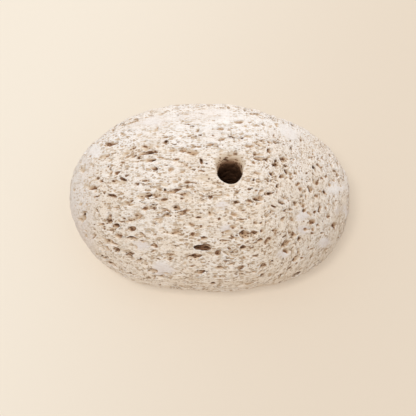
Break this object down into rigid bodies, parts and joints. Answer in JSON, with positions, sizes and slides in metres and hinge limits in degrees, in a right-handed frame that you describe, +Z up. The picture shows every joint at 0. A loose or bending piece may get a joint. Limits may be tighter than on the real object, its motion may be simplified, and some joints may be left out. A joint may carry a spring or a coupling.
{
  "type": "pumice stone",
  "caption": "Tumbled egg-shaped pumice stone for rubbing skin smooth, with a hole drilled through for a hanging cord, lying on a face worn flat.",
  "frame": {"origin": "bottom centre of the stone's bounding box, on the surface that it lies on", "axes": "+X along the stone's length towards its blunter end, +Y across it away from the front, +Z up, the way its hole is drilled"},
  "size_m": [0.095, 0.0666, 0.0383],
  "materials": {
    "pumice": "dry, rough and full of pores, cream white with tan pores"
  },
  "bodies": {
    "root": {"pumice_stone": "pumice"}
  },
  "joints": []
}
